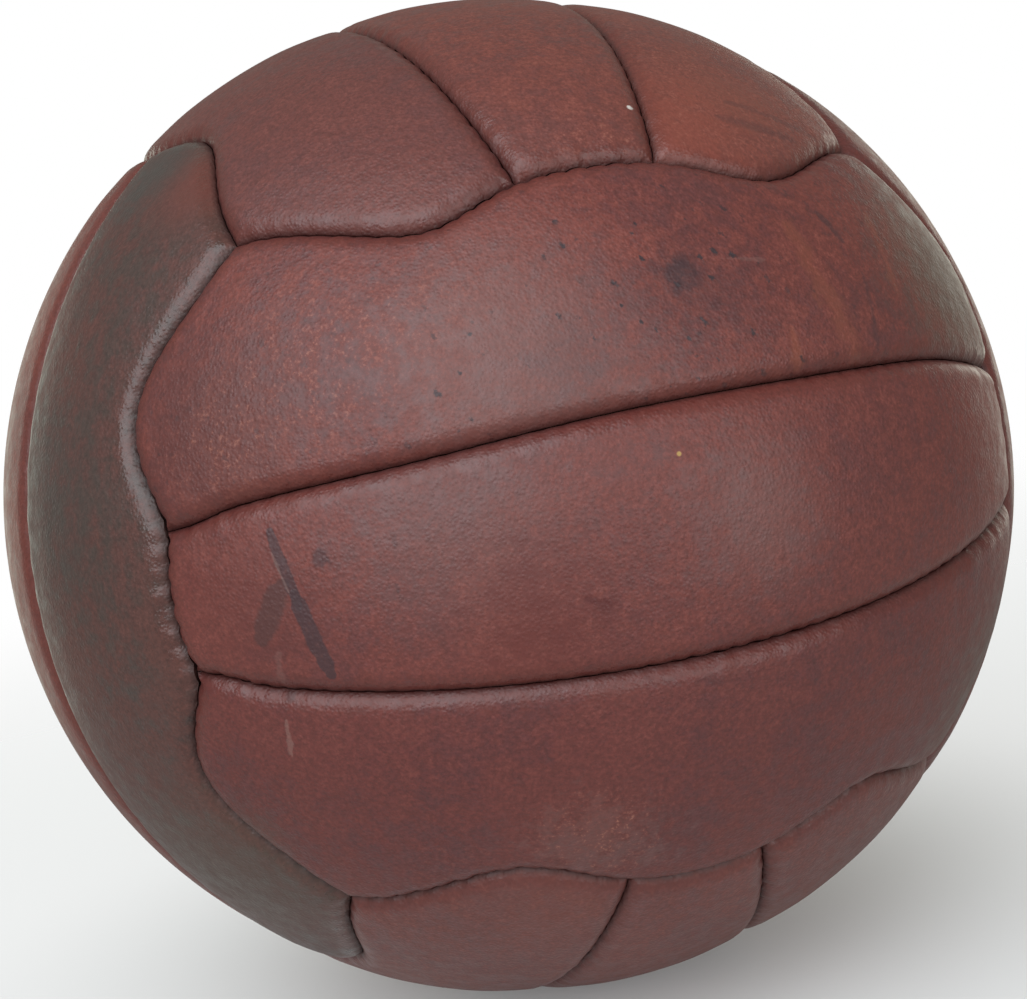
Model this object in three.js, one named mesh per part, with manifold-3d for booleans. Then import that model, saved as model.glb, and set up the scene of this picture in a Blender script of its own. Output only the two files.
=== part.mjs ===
// A round leather ball of eighteen long panels, three to each side of a cube, sewn edge to edge
// round an inflated bladder. The origin is the ball's centre and +Z is up. The valve looks along +Y.
// Lengths are in millimetres and angles in degrees unless a name says otherwise.
import * as THREE from "three";
import { mergeVertices } from "three/addons/utils/BufferGeometryUtils.js";
import Module from "manifold-3d";

const wasm = await Module();
wasm.setup();

// ---- Driving dimensions ----
const CIRCUMFERENCE = 690; // a full-size ball, pumped up
const RADIUS = CIRCUMFERENCE / (2 * Math.PI);
const LEATHER = 2.2; // panel leather
const TURNED_LEATHER = 1.6; // the same leather, shaved thinner where it turns in
const EDGE_DROP = 1.9; // how far a panel's rim lies below its crown
const SHOULDER = 3.2; // width of the rounded rim
const SHOULDER_DROP = 0.35;
const TURN_IN = 6; // depth of the turned-in edge below the crown
const SEAM_GAP = 1.4; // room for the thread between two turned-in edges
const THREAD_HALF = 0.35;
const CORNER_TRIM = 1.6; // a thread stops this far short of a cube corner
const GLUE = 0.35; // gap between pieces that lie on each other
const LINING = 0.6; // cotton canvas behind the leather
const BLADDER_WALL = 0.9;
const BLADDER_CLEARANCE = 0.8; // bladder to turned-in edges

// ---- Seam pattern, as angles seen from the centre ----
const CENTRE_HALF_WIDTH = 12.1; // centre panel's half width at its middle
const CENTRE_TAPER = 3.6; // how much less it is 45 degrees along
const SIDE_WAVE = [-10, 2.8, 0.6, -0.5]; // cosine terms of a long outer seam, off the cube's edge
const HALF_EDGE = THREE.MathUtils.radToDeg(Math.acos(2 / Math.sqrt(6))); // half of a cube's edge
const CENTRE_STEPS = 4; // straight steps along a centre panel's end
const SIDE_STEPS = 4; // straight steps along a side panel's end

// ---- Valve ----
const VALVE_HOLE = 4.2; // radius of the hole through leather, lining and bladder
const VALVE_BODY = 3.8;
const VALVE_CHANNEL = 1.9;
const VALVE_CORE = 1.55;
const NEEDLE_HOLE = 0.5;
const VALVE_SUNK = 0.8; // valve head below the panel's crown
const VALVE_LENGTH = 24;
const VALVE_FLANGE = 9;
const VALVE_FLANGE_THICKNESS = 1.4;
const FLANGE_CLEARANCE = 1.5; // flange to the bladder's inside, which curves down to its rim
const WASHER_RADIUS = 12;
const WASHER_THICKNESS = 1.5;
const ROUND_STEPS = 24;
const BLADDER_STEPS = 28;
const BLADDER_ARC_STEPS = 13;

// ---- Materials ----
const leatherMaterial = (color) =>
  new THREE.MeshStandardMaterial({ color, roughness: 0.48, metalness: 0 });
const chestnutLeather = leatherMaterial(0x76443c);
const russetLeather = leatherMaterial(0x84483a);
const darkLeather = leatherMaterial(0x5c4240);
const canvas = new THREE.MeshStandardMaterial({ color: 0xc9b893, roughness: 0.9 });
const waxedThread = new THREE.MeshStandardMaterial({ color: 0x3a221b, roughness: 0.7 });
const butylRubber = new THREE.MeshStandardMaterial({ color: 0x1d1b1b, roughness: 0.6 });
const valveRubber = new THREE.MeshStandardMaterial({ color: 0x2b2726, roughness: 0.55 });

// ---- Seam curves on the unit sphere ----
// A side of the ball is drawn with its middle on +Z, its panels running along X and stacked
// along Y. The other five sides are the same shape, turned.
const X = new THREE.Vector3(1, 0, 0);
const Y = new THREE.Vector3(0, 1, 0);
const Z = new THREE.Vector3(0, 0, 1);
const degrees = THREE.MathUtils.degToRad;
const blend = THREE.MathUtils.lerp;

const mix = (a, b, share) => a.clone().lerp(b, share);
const sum = (...terms) =>
  terms.reduce((total, [v, k]) => total.addScaledVector(v, k), new THREE.Vector3());

// The long outer seam of the side facing `owner`, where it meets the side facing `next`.
// t runs from -1 to 1, from one cube corner to the other.
function outerSeam(owner, next, run, t) {
  const along = degrees(HALF_EDGE) * t;
  const off = degrees(
    SIDE_WAVE.reduce((total, c, k) => total + c * Math.cos(((2 * k + 1) * Math.PI * t) / 2), 0),
  );
  const middle = sum([owner, Math.SQRT1_2], [next, Math.SQRT1_2]);
  const sideways = sum([next, Math.SQRT1_2], [owner, -Math.SQRT1_2]);
  return sum(
    [middle, Math.cos(off) * Math.cos(along)],
    [run, Math.cos(off) * Math.sin(along)],
    [sideways, Math.sin(off)],
  );
}

const centreHalfWidth = (longitude) => CENTRE_HALF_WIDTH - CENTRE_TAPER * (longitude / 45) ** 2;

// The seam between a centre panel and its neighbour, on the side that `up` (1 or -1) says.
function innerSeam(longitude, up) {
  const latitude = degrees(centreHalfWidth(longitude));
  const turn = degrees(longitude);
  const flat = Math.cos(latitude);
  return new THREE.Vector3(
    flat * Math.sin(turn),
    up * Math.sin(latitude),
    flat * Math.cos(turn),
  );
}

// The end seam at end 1 or -1 belongs to the side round the corner.
const endSeam = (end, t) => outerSeam(X.clone().multiplyScalar(end), Z, Y, t);
const longitudeOf = (p) => THREE.MathUtils.radToDeg(Math.atan2(p.x, p.z));
const latitudeOf = (p) => THREE.MathUtils.radToDeg(Math.asin(p.y));

// Where the inner seam runs into the end seam, as that seam's t.
function findJunction() {
  let [low, high] = [0, 1];
  for (let i = 0; i < 50; i++) {
    const t = (low + high) / 2;
    const p = endSeam(1, t);
    if (latitudeOf(p) < centreHalfWidth(longitudeOf(p))) low = t;
    else high = t;
  }
  return (low + high) / 2;
}
const JUNCTION = findJunction();
const JUNCTION_LONGITUDE = longitudeOf(endSeam(1, JUNCTION));

const steps = (from, to, count) =>
  Array.from({ length: count + 1 }, (_, k) => blend(from, to, k / count));
const CENTRE_ROWS = steps(-JUNCTION, JUNCTION, CENTRE_STEPS);
const SIDE_ROWS = steps(JUNCTION, 1, SIDE_STEPS);
const SEAM_STATIONS = [
  ...SIDE_ROWS.map((t) => -t).reverse(),
  ...CENTRE_ROWS.slice(1, -1),
  ...SIDE_ROWS,
];

// ---- Panels ----
// A grid of directions that fills the patch between four seams, a row for each end station.
function patch(rows, lowerSeam, upperSeam) {
  const [first, last] = [rows[0], rows.at(-1)];
  return rows.map((row) => {
    const v = (row - first) / (last - first);
    return SEAM_STATIONS.map((station) => {
      const u = (station + 1) / 2;
      const ruled = mix(lowerSeam(u), upperSeam(u), v);
      const ends = mix(endSeam(-1, row), endSeam(1, row), u);
      const corners = mix(
        mix(endSeam(-1, first), endSeam(1, first), u),
        mix(endSeam(-1, last), endSeam(1, last), u),
        v,
      );
      return ruled.add(ends).sub(corners).normalize();
    });
  });
}

const innerAt = (up) => (u) =>
  innerSeam(blend(-JUNCTION_LONGITUDE, JUNCTION_LONGITUDE, u), up);
const sideAt = (u) => outerSeam(Z, Y, X, 2 * u - 1);
const centrePatch = patch(CENTRE_ROWS, innerAt(-1), innerAt(1));
const sidePatch = patch(SIDE_ROWS, innerAt(1), sideAt);

const transpose = (grid) => grid[0].map((_, k) => grid.map((row) => row[k]));
const bothWays = (grid, change) => transpose(transpose(grid.map(change)).map(change));

const stepIn = (end, next, distance) =>
  mix(end, next, distance / (RADIUS * end.distanceTo(next))).normalize();

// Moves a grid's rim inwards over the sphere.
const pullIn = (grid, distance) =>
  bothWays(grid, (line) => [
    stepIn(line[0], line[1], distance),
    ...line.slice(1, -1),
    stepIn(line.at(-1), line.at(-2), distance),
  ]);

// Adds a line of points a shoulder's width inside a grid's rim.
const addShoulders = (grid) =>
  bothWays(grid, (line) => [
    line[0],
    stepIn(line[0], line[1], SHOULDER),
    ...line.slice(1, -1),
    stepIn(line.at(-1), line.at(-2), SHOULDER),
    line.at(-1),
  ]);

// Gives each direction its distance from the centre: ringRadii from the rim inwards.
function atRadii(grid, ringRadii) {
  const [lastRow, lastColumn] = [grid.length - 1, grid[0].length - 1];
  return grid.map((row, i) =>
    row.map((direction, k) => {
      const ring = Math.min(i, k, lastRow - i, lastColumn - k, ringRadii.length - 1);
      return direction.clone().multiplyScalar(ringRadii[ring]);
    }),
  );
}

// A grid's rim as one loop of points.
const rim = (grid) => [
  ...grid[0].slice(0, -1),
  ...transpose(grid).at(-1).slice(0, -1),
  ...[...grid.at(-1)].reverse().slice(0, -1),
  ...[...transpose(grid)[0]].reverse().slice(0, -1),
];

// A closed body: an outer grid, loops that lead from its rim, and an inner grid.
function shellGeometry(outer, loops, inner) {
  const triangles = [];
  const addQuad = (a, b, c, d) => triangles.push(a, b, c, a, c, d);
  const addSkin = (grid, outwards) => {
    for (let i = 0; i + 1 < grid.length; i++)
      for (let k = 0; k + 1 < grid[0].length; k++) {
        const [a, b, c, d] = [grid[i][k], grid[i][k + 1], grid[i + 1][k + 1], grid[i + 1][k]];
        if (outwards) addQuad(a, b, c, d);
        else addQuad(a, d, c, b);
      }
  };
  const addWall = (upper, lower) =>
    upper.forEach((point, k) => {
      const next = (k + 1) % upper.length;
      addQuad(point, lower[k], lower[next], upper[next]);
    });
  addSkin(outer, true);
  const rims = [rim(outer), ...loops, rim(inner)];
  for (let k = 0; k + 1 < rims.length; k++) addWall(rims[k], rims[k + 1]);
  addSkin(inner, false);
  return new THREE.BufferGeometry().setFromPoints(triangles);
}

// A leather panel: a crowned plate whose edges turn in towards the centre, to be sewn.
function panelGeometry(grid) {
  const outside = addShoulders(pullIn(grid, SEAM_GAP / 2));
  const inside = addShoulders(pullIn(grid, SEAM_GAP / 2 + TURNED_LEATHER));
  const outer = atRadii(outside, [RADIUS - EDGE_DROP, RADIUS - SHOULDER_DROP, RADIUS]);
  const underside = RADIUS - LEATHER;
  const inner = atRadii(inside, [underside - 1, underside - SHOULDER_DROP, underside]);
  const foot = (from) => rim(atRadii(from, [RADIUS - TURN_IN]));
  return shellGeometry(outer, [foot(outside), foot(inside)], inner);
}

// A canvas lining: a thin plate glued behind a panel, inside its turned-in edges.
function liningGeometry(grid) {
  const shape = addShoulders(pullIn(grid, SEAM_GAP / 2 + TURNED_LEATHER + GLUE));
  const plate = (face) => atRadii(shape, [face - 1, face - SHOULDER_DROP, face]);
  const face = RADIUS - LEATHER - GLUE;
  return shellGeometry(plate(face), [], plate(face - LINING));
}

// ---- Joining and cutting ----
function solidFrom(geometry) {
  const bare = geometry.clone().deleteAttribute("normal").deleteAttribute("uv");
  const merged = mergeVertices(bare, 1e-4);
  const triVerts = merged.index.array;
  return new wasm.Manifold(
    new wasm.Mesh({ numProp: 3, vertProperties: merged.attributes.position.array, triVerts }),
  );
}

function geometryFrom(solid) {
  const { vertProperties, triVerts } = solid.getMesh();
  return new THREE.BufferGeometry()
    .setAttribute("position", new THREE.BufferAttribute(vertProperties, 3))
    .setIndex(new THREE.BufferAttribute(triVerts, 1));
}

// ---- Thread ----
// A run of thread along a line of directions, four-sided, halfway down the turned-in edges.
function threadSolid(line) {
  const depth = RADIUS - (EDGE_DROP + TURN_IN) / 2;
  const rings = line.map((direction, k) => {
    const before = line[Math.max(k - 1, 0)];
    const after = line[Math.min(k + 1, line.length - 1)];
    const sideways = direction.clone().cross(sum([after, 1], [before, -1])).normalize();
    return [
      sum([direction, depth - THREAD_HALF]),
      sum([direction, depth], [sideways, THREAD_HALF]),
      sum([direction, depth + THREAD_HALF]),
      sum([direction, depth], [sideways, -THREAD_HALF]),
    ];
  });
  const triangles = [];
  for (let k = 0; k + 1 < rings.length; k++)
    rings[k].forEach((point, i) => {
      const next = (i + 1) % 4;
      const [a, b] = [rings[k][next], rings[k + 1][i]];
      triangles.push(point, a, b, a, rings[k + 1][next], b);
    });
  const [first, last] = [rings[0], rings.at(-1)];
  triangles.push(first[0], first[2], first[1], first[0], first[3], first[2]);
  triangles.push(last[0], last[1], last[2], last[0], last[2], last[3]);
  return solidFrom(new THREE.BufferGeometry().setFromPoints(triangles));
}

// One side's thread: its two inner seams, and the two end seams that they run into.
function threadGeometry() {
  const trimmed = (line) => [
    stepIn(line[0], line[1], CORNER_TRIM),
    ...line.slice(1, -1),
    stepIn(line.at(-1), line.at(-2), CORNER_TRIM),
  ];
  const ends = [-1, 1].map((end) => trimmed(SEAM_STATIONS.map((t) => endSeam(end, t))));
  const inners = [-1, 1].map((up) => SEAM_STATIONS.map((t) => innerAt(up)((t + 1) / 2)));
  const runs = [...ends, ...inners].map(threadSolid);
  return geometryFrom(runs.reduce((whole, run) => whole.add(run)));
}

// ---- Bladder and valve, turned about +Y ----
const turned = (profile, count) =>
  new THREE.LatheGeometry(
    profile.map(([r, y]) => new THREE.Vector2(r, y)),
    count,
  );

const BLADDER_RADIUS = RADIUS - TURN_IN - BLADDER_CLEARANCE;

function bladderGeometry() {
  const arc = (radius) => {
    const mouth = Math.asin(VALVE_HOLE / radius);
    return steps(Math.PI, mouth, BLADDER_ARC_STEPS).map((angle) => [
      angle === Math.PI ? 0 : radius * Math.sin(angle),
      radius * Math.cos(angle),
    ]);
  };
  const outside = arc(BLADDER_RADIUS);
  const inside = arc(BLADDER_RADIUS - BLADDER_WALL);
  return turned([...outside, ...inside.reverse()], BLADDER_STEPS);
}

const VALVE_TOP = RADIUS - VALVE_SUNK;

function valveBodyGeometry() {
  const flangeTop = BLADDER_RADIUS - BLADDER_WALL - FLANGE_CLEARANCE;
  const flangeFoot = flangeTop - VALVE_FLANGE_THICKNESS;
  const foot = VALVE_TOP - VALVE_LENGTH;
  return turned(
    [
      [VALVE_CHANNEL, foot],
      [VALVE_BODY - 0.8, foot],
      [VALVE_BODY, foot + 2],
      [VALVE_BODY, flangeFoot],
      [VALVE_FLANGE, flangeFoot],
      [VALVE_FLANGE, flangeTop],
      [VALVE_BODY, flangeTop],
      [VALVE_BODY, VALVE_TOP],
      [VALVE_CHANNEL, VALVE_TOP],
      [VALVE_CHANNEL, foot],
    ],
    ROUND_STEPS,
  );
}

// The self-sealing core: a plug with a blind hole that a pump needle pushes through.
function valveCoreGeometry() {
  const top = VALVE_TOP - 0.6;
  const foot = VALVE_TOP - VALVE_LENGTH + 1;
  return turned(
    [
      [0, foot],
      [VALVE_CORE - 0.5, foot],
      [VALVE_CORE, foot + 2],
      [VALVE_CORE, top],
      [NEEDLE_HOLE + 0.4, top],
      [NEEDLE_HOLE, top - 0.8],
      [NEEDLE_HOLE, foot + 4],
      [0, foot + 4],
    ],
    ROUND_STEPS / 2,
  );
}

function valveWasherGeometry() {
  const foot = BLADDER_RADIUS + 0.4;
  const top = foot + WASHER_THICKNESS;
  return turned(
    [
      [VALVE_HOLE, foot],
      [WASHER_RADIUS, foot],
      [WASHER_RADIUS, top - 0.7],
      [WASHER_RADIUS - 2, top],
      [VALVE_HOLE, top],
      [VALVE_HOLE, foot],
    ],
    ROUND_STEPS,
  );
}

// ---- Assembly ----
// Each side's name, its panels' run, the way they are stacked, and the names along that stack.
const SIDES = [
  ["front", [1, 0, 0], [0, 0, 1], "lower", "upper"],
  ["back", [-1, 0, 0], [0, 0, 1], "lower", "upper"],
  ["top", [0, -1, 0], [1, 0, 0], "left", "right"],
  ["bottom", [0, 1, 0], [1, 0, 0], "left", "right"],
  ["right", [0, 0, -1], [0, 1, 0], "front", "back"],
  ["left", [0, 0, 1], [0, 1, 0], "front", "back"],
];

function named(name, geometry, material) {
  const mesh = new THREE.Mesh(geometry, material);
  mesh.name = name;
  return mesh;
}

// The hole that the valve looks out of, cut where the back side's middle lies on +Z.
function withValveHole(geometry) {
  const drill = new THREE.CylinderGeometry(VALVE_HOLE, VALVE_HOLE, 20, ROUND_STEPS);
  drill.rotateX(Math.PI / 2).translate(0, 0, RADIUS);
  return geometryFrom(solidFrom(geometry).subtract(solidFrom(drill)));
}

const centrePanel = panelGeometry(centrePatch);
const sidePanel = panelGeometry(sidePatch);
const centreLining = liningGeometry(centrePatch);
const sideLining = liningGeometry(sidePatch);
const sideThread = threadGeometry();

function sideOfBall([side, run, stack, lowName, highName]) {
  const group = new THREE.Group();
  const [along, across] = [new THREE.Vector3(...run), new THREE.Vector3(...stack)];
  const out = along.clone().cross(across);
  group.quaternion.setFromRotationMatrix(new THREE.Matrix4().makeBasis(along, across, out));

  const drilled = side === "back" ? withValveHole : (geometry) => geometry;
  const centreLeather = side === "left" ? darkLeather : chestnutLeather;
  group.add(
    named(`${side}_centre_panel`, drilled(centrePanel), centreLeather),
    named(`${side}_centre_lining`, drilled(centreLining), canvas),
    named(`${side}_seam_thread`, sideThread, waxedThread),
  );
  for (const [name, turn] of [
    [highName, 0],
    [lowName, Math.PI],
  ]) {
    const sideLeather = side === "top" ? russetLeather : centreLeather;
    const panel = named(`${side}_${name}_panel`, sidePanel, sideLeather);
    const lining = named(`${side}_${name}_lining`, sideLining, canvas);
    panel.rotation.z = turn;
    lining.rotation.z = turn;
    group.add(panel, lining);
  }
  return group;
}

const ball = new THREE.Group();
ball.add(
  ...SIDES.map(sideOfBall),
  named("bladder", bladderGeometry(), butylRubber),
  named("valve_body", valveBodyGeometry(), valveRubber),
  named("valve_core", valveCoreGeometry(), valveRubber),
  named("valve_washer", valveWasherGeometry(), valveRubber),
);

export default ball;
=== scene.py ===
import math

import bpy
import numpy as np
from mathutils import Matrix, Vector, kdtree


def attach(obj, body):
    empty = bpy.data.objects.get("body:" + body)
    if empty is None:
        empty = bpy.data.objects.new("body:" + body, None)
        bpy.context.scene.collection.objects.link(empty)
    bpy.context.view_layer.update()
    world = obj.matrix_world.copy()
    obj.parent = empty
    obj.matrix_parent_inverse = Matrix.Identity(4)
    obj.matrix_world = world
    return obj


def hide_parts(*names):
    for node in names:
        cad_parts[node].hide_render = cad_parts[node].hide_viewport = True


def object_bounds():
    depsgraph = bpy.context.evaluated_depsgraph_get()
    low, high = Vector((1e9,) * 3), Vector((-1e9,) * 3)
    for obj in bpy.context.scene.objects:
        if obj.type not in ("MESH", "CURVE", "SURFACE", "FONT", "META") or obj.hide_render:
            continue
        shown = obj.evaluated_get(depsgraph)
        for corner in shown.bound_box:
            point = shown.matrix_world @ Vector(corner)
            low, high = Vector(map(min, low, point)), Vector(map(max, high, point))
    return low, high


# A worn brown ball of eighteen hand-sewn leather panels, three to each side of a cube.
# The frame's origin is the ball's centre, +Z is up, and the valve looks along +Y.
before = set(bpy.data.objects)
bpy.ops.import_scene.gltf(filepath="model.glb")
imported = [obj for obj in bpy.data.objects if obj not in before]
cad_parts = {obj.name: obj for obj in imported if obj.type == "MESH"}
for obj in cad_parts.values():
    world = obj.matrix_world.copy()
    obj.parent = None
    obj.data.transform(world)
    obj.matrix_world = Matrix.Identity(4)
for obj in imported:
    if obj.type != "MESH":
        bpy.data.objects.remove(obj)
cad_box = [list(corner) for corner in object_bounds()]

MM = 0.001
RADIUS = (cad_box[1][0] - cad_box[0][0]) / 2

# The old ball has gone a little out of round: shorter along this way, and wider across it
SHORT_WAY = (0.195, 0.055, 0.979)
OUT_OF_ROUND = 0.009

# Where hand sewing has pulled the seams off the even pattern: longitude and latitude from the
# front's middle and the spread in degrees, then how far east and north in millimetres
TUGS = (
    (-50, 8.5, 4.5, 3, -0.5),
    (-50, -9, 4.5, 4, 0.5),
    (-44, 34, 10, 1, 0),
    (-26, 33, 8, 2, 0.5),
    (3, 38, 16, -1.5, -1),
    (40, -35, 14, -0.5, -1.5),
    (0, -38, 16, -1.5, -1.5),
    (-45, -35, 14, -1, -1),
    (-25, 12, 14, 0, -1),
    (35, 12, 14, 0, 1),
)

# The seam pattern's angles in degrees, the same as the solid panels'
CENTRE_HALF_WIDTH = 12.1
CENTRE_TAPER = 3.6
SIDE_WAVE = (-10, 2.8, 0.6, -0.5)
HALF_EDGE = math.acos(2 / math.sqrt(6))

# How a panel's edge rolls into its seam, in millimetres
SEAM_GAP = 0.2
ROLL_WIDTH = 4.8
ROLL_DROP = 2.25
PILLOW_WIDTH = 15
PILLOW_DROP = 0.45
STITCH_PITCH = 4.1
STITCH_PULL = 0.6
STITCH_REACH = 1.5
PUCKER = 0.1
PUCKER_REACH = 5
JUNCTION_PULL = 0.7
JUNCTION_WIDTH = 3.5
UNEVENNESS = 0.25

# The edge that is turned in below the seam, and the underside, in millimetres
TURN_IN = 5.6
TURN_INSET = 0.5
TURN_LIP = 1.4
UNDERSIDE = 1.45
UNDERSIDE_INSET = 2.3
UNDERSIDE_LIP = 0.7

# Steps of the leather's grid in millimetres, finer near the seams
GRID_STEP = 0.95
FIRST_STEP = 0.14
STEP_GROWTH = 1.22
UNDERSIDE_STEP = 6
PATCH_SIZE = {"centre": (163.0, 46.0), "side": (168.0, 58.0)}

# How closely seams are followed and pieces finished
SEAM_POINTS = 900
WAVE_POINTS = 2001
HALVINGS = 50
MERGE_WITHIN = 0.01 * MM
SMOOTH_ANGLE = math.radians(50)

# The hole for the valve's head: its radius and the cutter's length and sides
VALVE_HOLE = 4.2 * MM
VALVE_HOLE_DEPTH = 24 * MM
VALVE_HOLE_SIDES = 64

# For each side: the way its panels run, the way they are stacked, and the names of its first
# and last panel that way
SIDES = {
    "front": ((1, 0, 0), (0, 0, 1), "lower", "upper"),
    "back": ((-1, 0, 0), (0, 0, 1), "lower", "upper"),
    "top": ((0, -1, 0), (1, 0, 0), "left", "right"),
    "bottom": ((0, 1, 0), (1, 0, 0), "left", "right"),
    "right": ((0, 0, -1), (0, 1, 0), "front", "back"),
    "left": ((0, 0, 1), (0, 1, 0), "front", "back"),
}


# ---- Seams ----
# They are directions from the centre. A side is drawn with its middle on +Z, its panels running
# along X and stacked along Y.
RUN = np.array((1.0, 0.0, 0.0))
STACK = np.array((0.0, 1.0, 0.0))
OUT = np.array((0.0, 0.0, 1.0))


def outer_seam(owner, neighbour, run, t):
    """The long wavy seam of the side facing owner, with t from -1 to 1 between cube corners."""
    along = HALF_EDGE * t
    off = np.radians(sum(c * np.cos((2 * k + 1) * np.pi * t / 2) for k, c in enumerate(SIDE_WAVE)))
    middle = (owner + neighbour) / math.sqrt(2)
    sideways = (neighbour - owner) / math.sqrt(2)
    return (
        np.outer(np.cos(off) * np.cos(along), middle)
        + np.outer(np.cos(off) * np.sin(along), run)
        + np.outer(np.sin(off), sideways)
    )


def centre_half_width(longitude):
    return CENTRE_HALF_WIDTH - CENTRE_TAPER * (longitude / 45) ** 2


def inner_seam(longitude, up):
    """The seam beside a centre panel, above it for up 1 and below it for up -1."""
    latitude = np.radians(centre_half_width(longitude))
    turn = np.radians(longitude)
    return np.stack(
        (np.cos(latitude) * np.sin(turn), up * np.sin(latitude), np.cos(latitude) * np.cos(turn)),
        axis=-1,
    )


def end_seam(end, t):
    return outer_seam(end * RUN, OUT, STACK, t)


def find_junction():
    """Where an inner seam runs into an end seam: that seam's t, and the longitude."""
    low, high = 0.0, 1.0
    for _ in range(HALVINGS):
        t = (low + high) / 2
        x, y, z = end_seam(1, np.array((t,)))[0]
        longitude = math.degrees(math.atan2(x, z))
        if math.degrees(math.asin(y)) < centre_half_width(longitude):
            low = t
        else:
            high = t
    return (low + high) / 2, longitude


JUNCTION, JUNCTION_LONGITUDE = find_junction()


def inner_at(up):
    return lambda u: inner_seam(JUNCTION_LONGITUDE * (2 * u - 1), up)


def side_at(u):
    return outer_seam(OUT, STACK, RUN, 2 * u - 1)


PATCHES = {
    "centre": ((-JUNCTION, JUNCTION), inner_at(-1), inner_at(1)),
    "side": ((JUNCTION, 1.0), inner_at(1), side_at),
}


def unit(vectors):
    return vectors / np.linalg.norm(vectors, axis=-1, keepdims=True)


def patch(kind, u, v):
    """Directions over the patch between four seams, a row for each v and a column for each u."""
    (first, last), lower, upper = PATCHES[kind]
    rows = first + (last - first) * v
    u_, v_ = u[None, :, None], v[:, None, None]
    ruled = lower(u)[None] * (1 - v_) + upper(u)[None] * v_
    ends = end_seam(-1, rows)[:, None] * (1 - u_) + end_seam(1, rows)[:, None] * u_
    corner = [end_seam(side, np.array((first, last))) for side in (-1, 1)]
    low_row = corner[0][0] * (1 - u_) + corner[1][0] * u_
    high_row = corner[0][1] * (1 - u_) + corner[1][1] * u_
    return unit(ruled + ends - low_row * (1 - v_) - high_row * v_)


def on_ball(longitude, latitude):
    """The direction of a place on the ball, in degrees east and north of the front's middle."""
    east, north = math.radians(longitude), math.radians(latitude)
    return np.array((
        math.sin(east) * math.cos(north), -math.cos(east) * math.cos(north), math.sin(north)
    ))


def tugged(directions):
    """Directions over the ball, shifted as its seams have been pulled."""
    moved = directions.copy()
    for longitude, latitude, spread, east, north in TUGS:
        place = on_ball(longitude, latitude)
        eastward = np.cross((0, 0, 1), place)
        eastward /= np.linalg.norm(eastward)
        pull = east * eastward + north * np.cross(place, eastward)
        angle = np.degrees(np.arccos(np.clip(directions @ place, -1, 1)))
        moved += np.exp(-((angle / spread) ** 2))[..., None] * pull * MM / RADIUS
    return unit(moved)


def worn_round(points):
    """Points on the round ball, moved to where the worn ball has them."""
    short = np.array(SHORT_WAY)
    return points * (1 + OUT_OF_ROUND) - 2 * OUT_OF_ROUND * (points @ short)[..., None] * short


def side_matrix(side):
    run, stack = (np.array(v, float) for v in SIDES[side][:2])
    return np.stack((run, stack, np.cross(run, stack)), axis=1)


HALF_TURN = np.diag((-1.0, -1.0, 1.0))

# ---- Where the panels lie: name -> (kind of patch, matrix that turns it into place) ----
PANELS = {}
for side, (_, _, low_name, high_name) in SIDES.items():
    PANELS[f"{side}_centre"] = ("centre", side_matrix(side))
    PANELS[f"{side}_{high_name}"] = ("side", side_matrix(side))
    PANELS[f"{side}_{low_name}"] = ("side", side_matrix(side) @ HALF_TURN)


def seam_samples(kind):
    """Points close together along a patch's four seams, and how far each lies from its seam's
    middle in millimetres, so that neighbours put their stitches in the same places."""
    fine = np.linspace(0, 1, SEAM_POINTS)
    (first, last), lower, upper = PATCHES[kind]
    wave_t = np.linspace(-1, 1, WAVE_POINTS)

    def run_length(points):
        steps = np.linalg.norm(np.diff(points, axis=0), axis=1)
        total = np.concatenate(((0,), np.cumsum(steps))) * RADIUS / MM
        return total - total[len(total) // 2]

    wave_length = run_length(outer_seam(OUT, STACK, RUN, wave_t))
    rows = first + (last - first) * fine
    curves = [(lower(fine), run_length(lower(fine))), (upper(fine), run_length(upper(fine)))]
    curves += [(end_seam(end, rows), np.interp(rows, wave_t, wave_length)) for end in (-1, 1)]
    return np.concatenate([c[0] for c in curves]), np.concatenate([c[1] for c in curves])


SAMPLES = {kind: seam_samples(kind) for kind in PATCHES}
BOTH_ENDS = np.array((0.0, 1.0))
CORNERS = {kind: patch(kind, BOTH_ENDS, BOTH_ENDS).reshape(-1, 3) for kind in PATCHES}


def graded(length):
    """Positions from 0 to 1 along length millimetres, closer together near both ends."""
    near = [SEAM_GAP / 2]
    step = FIRST_STEP
    while step < GRID_STEP:
        near.append(near[-1] + step)
        step *= STEP_GROWTH
    near = np.array(near)
    count = max(2, round((length - 2 * near[-1]) / GRID_STEP))
    middle = np.linspace(near[-1], length - near[-1], count + 1)[1:-1]
    return np.concatenate((near, middle, length - near[::-1])) / length


# Slow swells of the pumped-up leather: the way each runs with its waves to a radian, and its start
SWELLS = (
    ((3.1, 1.7, -2.3), 0.4),
    ((-2.2, 3.6, 1.1), 1.9),
    ((5.3, -1.9, 4.1), 3.3),
    ((-3.7, -5.9, 6.1), 5.1),
)


def unevenness(directions):
    """The swells together, from -1 to 1."""
    return sum(np.sin(directions @ np.array(way) + start) for way, start in SWELLS) / len(SWELLS)


def edge_roll(distance):
    """How far the surface lies below the crown, by its distance from the seam."""
    x = np.clip(1 - distance / ROLL_WIDTH, 0, 1)
    roll = ROLL_DROP * (0.55 * x**2.5 + 0.45 * (1 - np.sqrt(1 - x**3)))
    y = np.clip(1 - distance / PILLOW_WIDTH, 0, 1)
    return roll + PILLOW_DROP * y**2 * (3 - 2 * y)


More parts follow.
